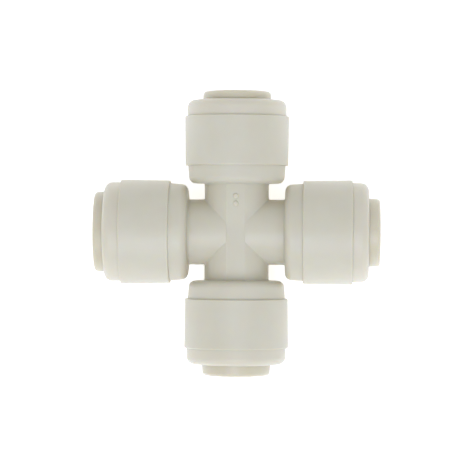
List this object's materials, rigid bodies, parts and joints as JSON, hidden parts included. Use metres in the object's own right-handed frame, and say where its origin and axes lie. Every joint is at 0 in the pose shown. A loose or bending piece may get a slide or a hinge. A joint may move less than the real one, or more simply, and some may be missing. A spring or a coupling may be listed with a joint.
{
  "type": "push-fit cross fitting",
  "caption": "Equal cross push-fit plumbing connector for small plastic water tube, with snap-in end caps, sliding release collets, grip teeth and O-ring seals.",
  "frame": {"origin": "where the four port axes meet, which is the centre of the fitting's box to within 0.3 mm, because the loose collets stand out by different amounts", "axes": "+Y along the north port's axis and +X along the east port's axis, both pointing out of the port; +Z is square to the plane of the ports, towards the face with the two raised mould dots"},
  "size_m": [0.0429, 0.0426, 0.0156],
  "materials": {
    "body_plastic": "fine moulded satin, natural off-white polypropylene",
    "cap_plastic": "moulded satin, natural off-white polypropylene",
    "collet_plastic": "moulded satin, natural off-white polypropylene",
    "spacer_plastic": "moulded satin",
    "seal_rubber": "lubricated black EPDM",
    "tooth_steel": "stamped stainless"
  },
  "bodies": {
    "fitting": {"cross_body": "body_plastic", "north_o_ring": "seal_rubber", "north_spacer_ring": "spacer_plastic", "north_end_cap": "cap_plastic", "west_o_ring": "seal_rubber", "west_spacer_ring": "spacer_plastic", "west_end_cap": "cap_plastic", "south_o_ring": "seal_rubber", "south_spacer_ring": "spacer_plastic", "south_end_cap": "cap_plastic", "east_o_ring": "seal_rubber", "east_spacer_ring": "spacer_plastic", "east_end_cap": "cap_plastic"},
    "north_collet": {"north_collet": "collet_plastic", "north_grip_tooth_1": "tooth_steel", "north_grip_tooth_2": "tooth_steel", "north_grip_tooth_3": "tooth_steel", "north_grip_tooth_4": "tooth_steel"},
    "west_collet": {"west_collet": "collet_plastic", "west_grip_tooth_1": "tooth_steel", "west_grip_tooth_2": "tooth_steel", "west_grip_tooth_3": "tooth_steel", "west_grip_tooth_4": "tooth_steel"},
    "south_collet": {"south_collet": "collet_plastic", "south_grip_tooth_1": "tooth_steel", "south_grip_tooth_2": "tooth_steel", "south_grip_tooth_3": "tooth_steel", "south_grip_tooth_4": "tooth_steel"},
    "east_collet": {"east_collet": "collet_plastic", "east_grip_tooth_1": "tooth_steel", "east_grip_tooth_2": "tooth_steel", "east_grip_tooth_3": "tooth_steel", "east_grip_tooth_4": "tooth_steel"}
  },
  "joints": [
    {"name": "north_collet_slide", "type": "slide", "parent": "fitting", "child": "north_collet", "axis": [0, 1, 0], "range_m": [0, 0.0012]},
    {"name": "west_collet_slide", "type": "slide", "parent": "fitting", "child": "west_collet", "axis": [-1, 0, 0], "range_m": [-0.00025, 0.00095]},
    {"name": "south_collet_slide", "type": "slide", "parent": "fitting", "child": "south_collet", "axis": [0, -1, 0], "range_m": [-0.00037, 0.00083]},
    {"name": "east_collet_slide", "type": "slide", "parent": "fitting", "child": "east_collet", "axis": [1, 0, 0], "range_m": [-0.00042, 0.00078]}
  ]
}
